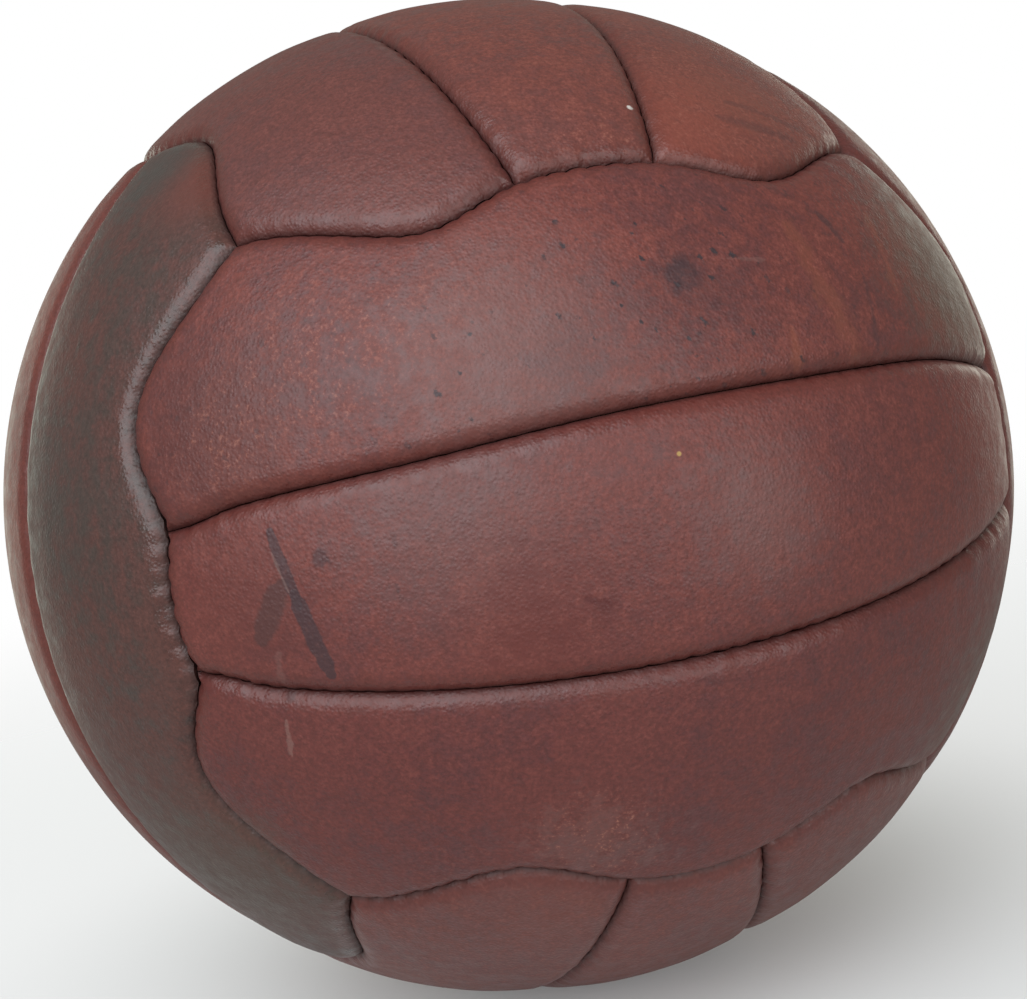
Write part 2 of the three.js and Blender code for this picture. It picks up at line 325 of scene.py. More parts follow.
def stitch_pull(distance, along, directions):
    """The extra pull of each stitch on the edge, and the puckers that run in from it. The
    stitches drift a little along the seam, and are tighter in some places than in others."""
    phase = 2 * np.pi * along / STITCH_PITCH + 0.7 * np.sin(along / 19)
    pull = (0.5 + 0.5 * np.cos(phase)) ** 3
    strength = 0.75 + 0.35 * np.sin(directions @ np.array((9.0, 7.0, -8.0)))
    near = STITCH_PULL * pull * np.exp(-((distance / STITCH_REACH) ** 2))
    wander = np.sin(phase * 0.5 + 1.3 * np.sin(along / 7))
    pucker = PUCKER * wander * np.exp(-((distance / PUCKER_REACH) ** 2))
    return strength * near + pucker * strength**2


def set_grid(obj, points):
    """Moves a primitive grid's vertices to a grid of points, rows along the grid's Y."""
    rows, columns = points.shape[:2]
    flat = np.empty(len(obj.data.vertices) * 3)
    obj.data.vertices.foreach_get("co", flat)
    x, y = flat.reshape(-1, 3)[:, 0], flat.reshape(-1, 3)[:, 1]
    column = np.rint((x - x.min()) / (x.max() - x.min()) * (columns - 1)).astype(int)
    row = np.rint((y - y.min()) / (y.max() - y.min()) * (rows - 1)).astype(int)
    obj.data.vertices.foreach_set("co", points[row, column].ravel())
    obj.data.update()
    return row, column


def deselect():
    bpy.ops.object.select_all(action="DESELECT")


def activate(obj):
    deselect()
    obj.select_set(True)
    bpy.context.view_layer.objects.active = obj


def add_grid(name, shape):
    deselect()
    rows, columns = shape[:2]
    bpy.ops.mesh.primitive_grid_add(
        x_subdivisions=columns - 1, y_subdivisions=rows - 1, size=2 * RADIUS
    )
    obj = bpy.context.object
    obj.name = obj.data.name = name
    return obj


def in_edit_mode(obj, *steps):
    activate(obj)
    bpy.ops.object.mode_set(mode="EDIT")
    for step in steps:
        step()
    bpy.ops.object.mode_set(mode="OBJECT")


def merge_all():
    bpy.ops.mesh.select_all(action="SELECT")
    bpy.ops.mesh.remove_doubles(threshold=MERGE_WITHIN)


def bridge_open_edges():
    bpy.ops.mesh.select_mode(type="EDGE")
    bpy.ops.mesh.select_all(action="DESELECT")
    bpy.ops.mesh.select_non_manifold(
        extend=False, use_wire=False, use_boundary=True, use_multi_face=False,
        use_non_contiguous=False, use_verts=False,
    )
    bpy.ops.mesh.bridge_edge_loops()


def ring_numbers(rows, columns):
    """Each grid point's ring, counted inwards from the rim."""
    i, k = np.meshgrid(np.arange(rows), np.arange(columns), indexing="ij")
    return np.minimum.reduce((i, k, rows - 1 - i, columns - 1 - k))


def with_turn_in(positions, inset):
    """Adds two places at each end for the rings that turn in below the edge."""
    return np.concatenate(((inset, inset), positions, (1 - inset, 1 - inset)))


def panel_skin(kind, turn):
    """The outer surface of a panel: points by row and column, and each one's seam distance."""
    length, width = PATCH_SIZE[kind]
    u, v = graded(length), graded(width)
    u = with_turn_in(u, TURN_INSET / length)
    v = with_turn_in(v, TURN_INSET / width)
    local = patch(kind, u, v)
    directions = tugged(local @ turn.T)
    rows, columns = local.shape[:2]
    ring = ring_numbers(rows, columns)
    along = SAMPLES[kind][1]
    tree = TREES[kind]
    distance = np.empty((rows, columns))
    place = np.empty((rows, columns))
    for r in range(rows):
        for c in range(columns):
            _, nearest, gap = tree.find(local[r, c])
            distance[r, c] = gap * RADIUS / MM
            place[r, c] = along[nearest]
    below = edge_roll(distance) + stitch_pull(distance, place, directions)
    below += UNEVENNESS * (1 - unevenness(directions)) / 2
    for corner in CORNERS[kind]:
        gap = np.linalg.norm(local - corner, axis=-1) * RADIUS / MM
        below += JUNCTION_PULL * np.exp(-((gap / JUNCTION_WIDTH) ** 2))
    below = np.where(ring == 1, ROLL_DROP + TURN_LIP, below)
    below = np.where(ring == 0, TURN_IN, below)
    distance = np.where(ring < 2, 0, distance)
    return worn_round(directions * (RADIUS - below[..., None] * MM)), distance


def coarse(length):
    """Positions from 0 to 1 along length millimetres of underside, with both ends twice."""
    inset = UNDERSIDE_INSET / length
    even = np.linspace(inset, 1 - inset, max(5, round(length / UNDERSIDE_STEP)))
    return np.concatenate((even[:1], even, even[-1:]))


def panel_underside(kind, turn):
    """The inner surface of a panel, in a coarser grid: the underside and the turned-in edge."""
    length, width = PATCH_SIZE[kind]
    directions = tugged(patch(kind, coarse(length), coarse(width)) @ turn.T)
    ring = ring_numbers(*directions.shape[:2])
    below = np.select((ring == 0, ring == 1), (TURN_IN, UNDERSIDE + UNDERSIDE_LIP), UNDERSIDE)
    return worn_round(directions * (RADIUS - below[..., None] * MM))


def nearest_finder(points):
    tree = kdtree.KDTree(len(points))
    for index, point in enumerate(points):
        tree.insert(point, index)
    tree.balance()
    return tree


TREES = {kind: nearest_finder(SAMPLES[kind][0]) for kind in PATCHES}


def make_panel(name):
    kind, turn = PANELS[name]
    points, distance = panel_skin(kind, turn)
    outside = add_grid(f"{name}_leather", points.shape)
    row, column = set_grid(outside, points)
    seam = outside.data.attributes.new("seam_distance", "FLOAT", "POINT")
    seam.data.foreach_set("value", distance[row, column])
    in_edit_mode(outside, merge_all)

    points = panel_underside(kind, turn)
    inside = add_grid(f"{name}_underside", points.shape)
    set_grid(inside, points)
    in_edit_mode(inside, merge_all, lambda: bpy.ops.mesh.flip_normals())

    activate(outside)
    inside.select_set(True)
    bpy.ops.object.join()
    in_edit_mode(outside, bridge_open_edges)
    finish(outside)
    return outside


def finish(obj):
    """Puts a finished piece's place in its mesh, and shades it smooth but for sharp edges."""
    activate(obj)
    bpy.ops.object.transform_apply(location=True, rotation=True, scale=True)
    bpy.ops.object.shade_smooth_by_angle(angle=SMOOTH_ANGLE)
    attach(obj, "root")


def cut_valve_hole(piece):
    """Cuts the round hole that the valve's head stands in."""
    deselect()
    bpy.ops.mesh.primitive_cylinder_add(
        vertices=VALVE_HOLE_SIDES, radius=VALVE_HOLE, depth=VALVE_HOLE_DEPTH,
        location=(0, RADIUS, 0), rotation=(math.pi / 2, 0, 0),
    )
    cutter = bpy.context.object
    activate(piece)
    hole = piece.modifiers.new("valve hole", "BOOLEAN")
    hole.object, hole.solver = cutter, "EXACT"
    bpy.ops.object.modifier_apply(modifier=hole.name)
    bpy.data.objects.remove(cutter, do_unlink=True)


leather_pieces = {name: make_panel(name) for name in PANELS}
cut_valve_hole(leather_pieces["back_centre"])
for name, piece in leather_pieces.items():
    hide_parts(f"{name}_panel")


# ---- Shader building ----
def add_node(tree, kind, inputs=None, **settings):
    """Adds a shader node. Each input is a value, or the output socket that feeds it."""
    node = tree.nodes.new("ShaderNode" + kind)
    for name, value in settings.items():
        setattr(node, name, value)
    for name, value in (inputs or {}).items():
        if isinstance(value, bpy.types.NodeSocket):
            tree.links.new(value, node.inputs[name])
        else:
            node.inputs[name].default_value = value
    return node


def calculate(tree, operation, a, b=0.0, clamp=False):
    return add_node(tree, "Math", {0: a, 1: b}, operation=operation, use_clamp=clamp).outputs[0]


def product(tree, *values):
    result = values[0]
    for value in values[1:]:
        result = calculate(tree, "MULTIPLY", result, value)
    return result


def vector_math(tree, operation, a, b=(0, 0, 0), output=0):
    return add_node(tree, "VectorMath", {0: a, 1: b}, operation=operation).outputs[output]


def ramp(tree, value, low, high, to_low=0.0, to_high=1.0):
    """Runs smoothly from to_low at low to to_high at high."""
    inputs = {"Value": value, 1: low, 2: high, 3: to_low, 4: to_high}
    return add_node(tree, "MapRange", inputs, interpolation_type="SMOOTHSTEP").outputs["Result"]


def tint(tree, under, over, amount, blend="MIX"):
    inputs = {0: amount, 6: under, 7: over}
    return add_node(tree, "Mix", inputs, data_type="RGBA", blend_type=blend).outputs[2]


def millimetres(tree, turn=(0, 0, 0)):
    """The surface point in millimetres, turned."""
    place = add_node(tree, "TexCoord").outputs["Object"]
    if any(turn):
        place = add_node(tree, "Mapping", {"Vector": place, "Rotation": turn}).outputs["Vector"]
    return vector_math(tree, "MULTIPLY", place, (1 / MM,) * 3)


def rounded_millimetres(tree):
    """The surface point in millimetres, as it would lie on the evenly round ball."""
    outward = vector_math(tree, "NORMALIZE", add_node(tree, "TexCoord").outputs["Object"])
    return vector_math(tree, "MULTIPLY", outward, (RADIUS / MM,) * 3)


def noise(tree, place, size, detail=2.0, roughness=0.5):
    """Cloudy noise about 0.5, with features about size millimetres across."""
    inputs = {"Vector": place, "Scale": 1 / size, "Detail": detail, "Roughness": roughness}
    return add_node(tree, "TexNoise", inputs).outputs["Fac"]


def shader_group(name, inputs, outputs):
    """A node group. Its inputs are given as (name, type, default), its outputs as (name, type)."""
    group = bpy.data.node_groups.new(name, "ShaderNodeTree")
    for socket, kind, default in inputs:
        made = group.interface.new_socket(socket, in_out="INPUT", socket_type="NodeSocket" + kind)
        made.default_value = default
    for socket, kind in outputs:
        group.interface.new_socket(socket, in_out="OUTPUT", socket_type="NodeSocket" + kind)
    given = group.nodes.new("NodeGroupInput").outputs
    return group, given, group.nodes.new("NodeGroupOutput").inputs


def use_group(tree, group, inputs):
    return add_node(tree, "Group", inputs, node_tree=group).outputs


# ---- Effects that the leathers share ----
def build_hide():
    """The hide itself: how it is patched, mottled, pored and rubbed, and its grain's height."""
    tree, given, out = shader_group(
        "hide",
        [("Shift", "Vector", (0, 0, 0)), ("Creasing", "Float", 0.5),
         ("Fibre Turn", "Vector", (0, 0, 0))],
        [("Patch", "Float"), ("Mottle", "Float"), ("Fine", "Float"), ("Fibres", "Float"),
         ("Specks", "Float"), ("Pores", "Float"), ("Height", "Float")],
    )
    place = vector_math(tree, "ADD", millimetres(tree), given["Shift"])
    mottle = noise(tree, place, 3.5, 4, 0.62)
    fine = noise(tree, place, 0.85, 3, 0.72)
    tree.links.new(noise(tree, place, 30, 3, 0.55), out["Patch"])
    tree.links.new(mottle, out["Mottle"])
    tree.links.new(fine, out["Fine"])
    turned = {"Vector": place, "Rotation": given["Fibre Turn"]}
    turned = add_node(tree, "Mapping", turned).outputs["Vector"]
    combed = vector_math(tree, "MULTIPLY", turned, (1, 1, 0.12))
    tree.links.new(noise(tree, combed, 1.3, 3, 0.65), out["Fibres"])

    # Rubbed specks in no regular shape, and pores a little longer than they are wide
    rubbed = calculate(tree, "ADD", product(tree, fine, 0.7), product(tree, mottle, 0.3))
    tree.links.new(ramp(tree, rubbed, 0.54, 0.66), out["Specks"])
    stretched = vector_math(tree, "MULTIPLY", turned, (1, 1, 0.55))
    cells = add_node(tree, "TexVoronoi", {"Vector": stretched, "Scale": 0.5}).outputs
    chance = add_node(tree, "SeparateColor", {"Color": cells["Color"]}).outputs
    width = ramp(tree, chance["Green"], 0, 1, 0.11, 0.33)
    pore = calculate(tree, "DIVIDE", cells["Distance"], width)
    pore = calculate(tree, "ADD", pore, ramp(tree, fine, 0.3, 0.7, -0.35, 0.35))
    pore = product(tree, ramp(tree, pore, 0.4, 1, 1, 0), ramp(tree, chance["Blue"], 0.4, 0.6))
    tree.links.new(pore, out["Pores"])

    pebbles = add_node(tree, "TexVoronoi", {"Vector": place, "Scale": 1.35}).outputs["Distance"]
    creases = product(tree, noise(tree, place, 3.2, 4, 0.6), given["Creasing"], 8.0)
    height = calculate(tree, "ADD", ramp(tree, pebbles, 0, 0.7, 1, 0), creases)
    tree.links.new(height, out["Height"])
    return tree


def build_worn_dye():
    """Years of wear on the dye: warm clouds, cool bloom and rubbed fibres in one colour."""
    tree, given, out = shader_group(
        "worn dye",
        [("Dye", "Color", (0.16, 0.03, 0.02, 1)), ("Warm", "Color", (0.23, 0.05, 0.025, 1)),
         ("Cool", "Color", (0.13, 0.06, 0.055, 1)), ("Patch", "Float", 0.5),
         ("Mottle", "Float", 0.5), ("Fine", "Float", 0.5), ("Fibres", "Float", 0.5),
         ("Clouding", "Float", 0.5), ("Bloom", "Float", 0.3), ("Streaks", "Float", 0.3)],
        [("Color", "Color")],
    )
    mottle, patches = product(tree, given["Mottle"], 0.55), product(tree, given["Patch"], 0.45)
    mixed = calculate(tree, "ADD", mottle, patches)
    warm = product(tree, ramp(tree, mixed, 0.4, 0.62), given["Clouding"])
    bloom = product(tree, ramp(tree, mixed, 0.54, 0.36), given["Bloom"])
    color = tint(tree, tint(tree, given["Dye"], given["Warm"], warm), given["Cool"], bloom)
    streaks = product(tree, ramp(tree, given["Fibres"], 0.45, 0.72), given["Streaks"])
    color = tint(tree, color, given["Warm"], streaks)
    shade = ramp(tree, given["Fine"], 0.28, 0.72, 0.76, 1.24)
    grey = add_node(tree, "CombineColor", {0: shade, 1: shade, 2: shade}).outputs[0]
    tree.links.new(tint(tree, color, grey, 1.0, "MULTIPLY"), out["Color"])
    return tree


def build_seam_tone():
    """Near a seam: painted shade, a darker red band beside it and a darkened crease, and a rubbed
    crest.
    """
    tree, given, out = shader_group(
        "seam tone",
        [("Color", "Color", (0.16, 0.03, 0.02, 1)), ("Seam Shade", "Color", (0.24, 0.045, 0.02, 1)),
         ("Crease Shade", "Color", (0.02, 0.007, 0.007, 1)), ("Mottle", "Float", 0.5),
         ("Seam Shading", "Float", 0.4)],
        [("Color", "Color"), ("Crest", "Float")],
    )
    seam = add_node(tree, "Attribute", attribute_name="seam_distance", attribute_type="GEOMETRY")
    distance = seam.outputs["Fac"]
    ragged = product(tree, distance, ramp(tree, given["Mottle"], 0.2, 0.8, 1.6, 0.6))
    # Painted shade: a darker red band along the seam, where the edge rolls down into it
    shade_band = product(tree, ramp(tree, ragged, 0.3, 5.0, 1, 0), given["Seam Shading"])
    # Painted shade: the crease darkened nearly to black within about a millimetre of the seam
    crease = ramp(tree, distance, 0.05, 1.1, 0.55, 0)
    color = tint(tree, given["Color"], given["Seam Shade"], shade_band)
    tree.links.new(tint(tree, color, given["Crease Shade"], crease), out["Color"])
    rising, falling = ramp(tree, distance, 0.5, 1.6), ramp(tree, distance, 2.0, 5.0, 1, 0)
    tree.links.new(product(tree, rising, falling), out["Crest"])
    return tree


def ragged_mask(tree, given, share):
    """Fades a mark out where share, from 0 at its middle to 1 at its edge, nears 1."""
    uneven = calculate(tree, "SUBTRACT", given["Rim"], 0.5)
    share = calculate(tree, "ADD", share, product(tree, uneven, given["Raggedness"], 3.0))
    return ramp(tree, share, calculate(tree, "SUBTRACT", 1.0, given["Softness"]), 1.0, 1, 0)


def build_soft_spot():
    """A round mark with a ragged rim."""
    tree, given, out = shader_group(
        "soft spot",
        [("Centre", "Vector", (0, 0, 0)), ("Radius", "Float", 10.0), ("Softness", "Float", 0.8),
         ("Rim", "Float", 0.5), ("Raggedness", "Float", 0.5)],
        [("Mask", "Float")],
    )
    gap = vector_math(tree, "DISTANCE", rounded_millimetres(tree), given["Centre"], "Value")
    share = calculate(tree, "DIVIDE", gap, given["Radius"])
    tree.links.new(ragged_mask(tree, given, share), out["Mask"])
    return tree


def build_stroke():
    """A mark along a straight stretch that narrows at its ends, with a ragged rim."""
    tree, given, out = shader_group(
        "stroke",
        [("Start", "Vector", (0, 0, 0)), ("End", "Vector", (10, 0, 0)),
         ("Half Width", "Float", 1.5), ("Softness", "Float", 0.5), ("Rim", "Float", 0.5),
         ("Raggedness", "Float", 0.4)],
        [("Mask", "Float")],
    )
    place = rounded_millimetres(tree)
    whole = vector_math(tree, "SUBTRACT", given["End"], given["Start"])
    length = vector_math(tree, "LENGTH", whole, output="Value")
    from_start = vector_math(tree, "SUBTRACT", place, given["Start"])
    along = vector_math(tree, "DOT_PRODUCT", from_start, whole, "Value")
    along = calculate(tree, "DIVIDE", along, product(tree, length, length))
    side = vector_math(tree, "CROSS_PRODUCT", given["Start"], given["End"])
    side = vector_math(tree, "NORMALIZE", side)
    aside = vector_math(tree, "DOT_PRODUCT", place, side, "Value")
    from_middle = calculate(tree, "ABSOLUTE", calculate(tree, "SUBTRACT", along, 0.5))
    narrowing = ramp(tree, from_middle, 0.35, 0.5, 1, 0.65)
    past_end = calculate(tree, "MAXIMUM", calculate(tree, "SUBTRACT", from_middle, 0.5))
    gap = add_node(tree, "CombineXYZ", {0: aside, 1: product(tree, past_end, length)}).outputs[0]
    gap = vector_math(tree, "LENGTH", gap, output="Value")
    share = calculate(tree, "DIVIDE", gap, product(tree, given["Half Width"], narrowing))
    tree.links.new(ragged_mask(tree, given, share), out["Mask"])
    return tree


HIDE, WORN_DYE, SEAM_TONE = build_hide(), build_worn_dye(), build_seam_tone()
SPOT, STROKE = build_soft_spot(), build_stroke()


# ---- Leather ----
LEATHER_SHEEN = 0.55
CREASING = 0.5
GRAIN_DEPTH = 0.08


def new_material(name, color, roughness, specular=0.5):
    made = bpy.data.materials.new(name)
    made.use_nodes = True
    shader = made.node_tree.nodes["Principled BSDF"]
    shader.inputs["Base Color"].default_value = (*color, 1)
    shader.inputs["Roughness"].default_value = roughness
    shader.inputs["Specular IOR Level"].default_value = specular
    return made, made.node_tree, shader


def raise_surface(tree, shader, height, strength, depth):
    """Feeds a height, depth millimetres from lowest to highest, to the shader's normal."""
    inputs = {"Height": height, "Strength": strength, "Distance": depth * MM}
    tree.links.new(add_node(tree, "Bump", inputs).outputs["Normal"], shader.inputs["Normal"])


def surface_place(longitude, latitude):
    """The point of the evenly round ball there, in millimetres."""
    return on_ball(longitude, latitude) * RADIUS / MM


def spot(longitude, latitude, radius, softness=0.8, raggedness=0.5):
    """A round mark: its place on the ball in degrees, and its radius in millimetres."""
    return SPOT, {"Centre": surface_place(longitude, latitude), "Radius": radius,
                  "Softness": softness, "Raggedness": raggedness}


def stroke(start, end, half_width, softness=0.5, raggedness=0.3):
    """A long mark between two places on the ball."""
    return STROKE, {"Start": surface_place(*start), "End": surface_place(*end),
                    "Half Width": half_width, "Softness": softness, "Raggedness": raggedness}


def leather(name, dye, warm, cool, marks=(), clouding=0.6, bloom=0.5, streaks=0.2,
            fibre_turn=(0, 0, 0), specks=0.15, speck_places=(), pores=0.0, pore_places=(),
            seam_shading=0.6, roughness=0.5, crest_gloss=0.1, shift=0.0):
    """A leather with its own dye and wear. Each of the marks is (mask, colour, strength), laid
    over the last. Places are (mask, strength) and add specks or pores there."""
    made, tree, shader = new_material(name, dye, roughness, LEATHER_SHEEN)
    hide = use_group(tree, HIDE, {
        "Shift": (shift, 0, -shift), "Creasing": CREASING, "Fibre Turn": fibre_turn,
    })
    worn = use_group(tree, WORN_DYE, {
        "Dye": (*dye, 1), "Warm": (*warm, 1), "Cool": (*cool, 1), "Patch": hide["Patch"],
        "Mottle": hide["Mottle"], "Fine": hide["Fine"], "Fibres": hide["Fibres"],
        "Clouding": clouding, "Bloom": bloom, "Streaks": streaks,
    })
    color = worn["Color"]

    def mask_of(mark):
        group, values = mark
        return use_group(tree, group, {**values, "Rim": hide["Mottle"]})["Mask"]

    def strength_over(base, places):
        total = base
        for mark, strength in places:
            total = calculate(tree, "ADD", total, product(tree, mask_of(mark), strength), True)
        return total

    for mark, mark_color, strength in marks:
        color = tint(tree, color, (*mark_color, 1), product(tree, mask_of(mark), strength))
    rubbed = product(tree, hide["Specks"], strength_over(specks, speck_places))
    color = tint(tree, color, (*SPECK, 1), rubbed)
    if pores or pore_places:
        pored = product(tree, hide["Pores"], strength_over(pores, pore_places))
        color = tint(tree, color, (*PORE, 1), pored)
    # The seams' painted shade: a darker red band beside each seam and a darkened crease
    seam = use_group(tree, SEAM_TONE, {
        "Color": color, "Seam Shade": (*SEAM_SHADE, 1), "Mottle": hide["Mottle"],
        "Seam Shading": seam_shading,
    })
    tree.links.new(seam["Color"], shader.inputs["Base Color"])
    rough = ramp(tree, hide["Mottle"], 0.3, 0.7, roughness - 0.06, roughness + 0.08)
    rough = calculate(tree, "SUBTRACT", rough, product(tree, seam["Crest"], crest_gloss))
    tree.links.new(rough, shader.inputs["Roughness"])
    raise_surface(tree, shader, hide["Height"], 0.7, GRAIN_DEPTH)
    return made


# Each leather's dye, and how it looks where it is warmer and where it has bloomed
CHESTNUT = dict(dye=(0.125, 0.026, 0.0225), warm=(0.17, 0.037, 0.027), cool=(0.1, 0.03, 0.03))
DEEP_CHESTNUT = dict(
    dye=(0.112, 0.0225, 0.0205), warm=(0.15, 0.032, 0.024), cool=(0.09, 0.026, 0.027)
)
RUSSET = dict(dye=(0.15, 0.036, 0.029), warm=(0.2, 0.05, 0.034), cool=(0.12, 0.04, 0.036))
DEEP_RUSSET = dict(dye=(0.13, 0.034, 0.029), warm=(0.16, 0.042, 0.032), cool=(0.11, 0.037, 0.036))
SMOKED = dict(
    dye=(0.08, 0.0304, 0.0255), warm=(0.12, 0.0361, 0.0264), cool=(0.06, 0.037, 0.0317)
)

# Colours of wear and marks, and of painted shade and sheen
# Painted shade beside the seams, a darker red
SEAM_SHADE = (0.1, 0.017, 0.012)
SPECK = (0.3, 0.115, 0.08)
PORE = (0.035, 0.018, 0.022)
SCUFF = (0.045, 0.018, 0.022)
SMEAR = (0.075, 0.022, 0.02)
PALE = (0.34, 0.2, 0.17)
ORANGE = (0.24, 0.06, 0.03)
OLIVE = (0.085, 0.052, 0.036)
# Pale purple-grey: real bloom on the back and right, and painted sheen over the front's lit middle
BLOOM_AND_SHEEN = (0.16, 0.085, 0.08)
# Painted shade, a darker chestnut
SHADED = (0.095, 0.022, 0.018)
HANDLED = (0.105, 0.02, 0.016)
RICH_RED = (0.17, 0.028, 0.02)
DEEP_RED = (0.115, 0.019, 0.015)
OXBLOOD = (0.085, 0.011, 0.01)
SMOKED_RED = (0.16, 0.035, 0.025)
SOOT = (0.055, 0.047, 0.042)
PEAT = (0.077, 0.05, 0.037)
BRICK = (0.24, 0.052, 0.032)
CLAY = (0.22, 0.058, 0.035)
BRIGHT_RUSSET = (0.19, 0.045, 0.03)
STRAW = (0.45, 0.28, 0.08)
CHALK = (0.75, 0.7, 0.65)

